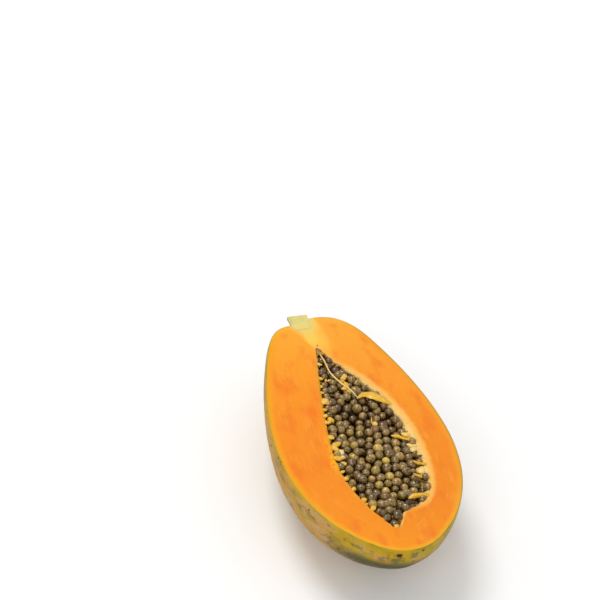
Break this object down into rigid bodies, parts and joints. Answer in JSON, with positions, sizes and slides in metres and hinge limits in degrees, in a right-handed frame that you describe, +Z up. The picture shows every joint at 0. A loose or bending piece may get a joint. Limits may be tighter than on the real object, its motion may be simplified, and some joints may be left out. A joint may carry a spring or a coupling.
{
  "type": "papaya half",
  "caption": "Half a papaya cut lengthwise through its stem, lying on its back, with its cavity full of round seeds.",
  "frame": {"origin": "on the surface that the fruit lies on, under the middle of the whole object", "axes": "+X along the fruit to its stem end, +Z up, square to the level cut face, +Y across the fruit"},
  "size_m": [0.175, 0.098, 0.0533],
  "materials": {
    "flesh": "moist satin orange flesh under thin yellow and green skin",
    "seed": "wet grey-brown seeds in their pulp",
    "stalk": "pale green fresh-cut stalk"
  },
  "bodies": {
    "root": {"half_fruit": "flesh", "seeds": "seed", "stem_stub": "stalk"}
  },
  "joints": []
}
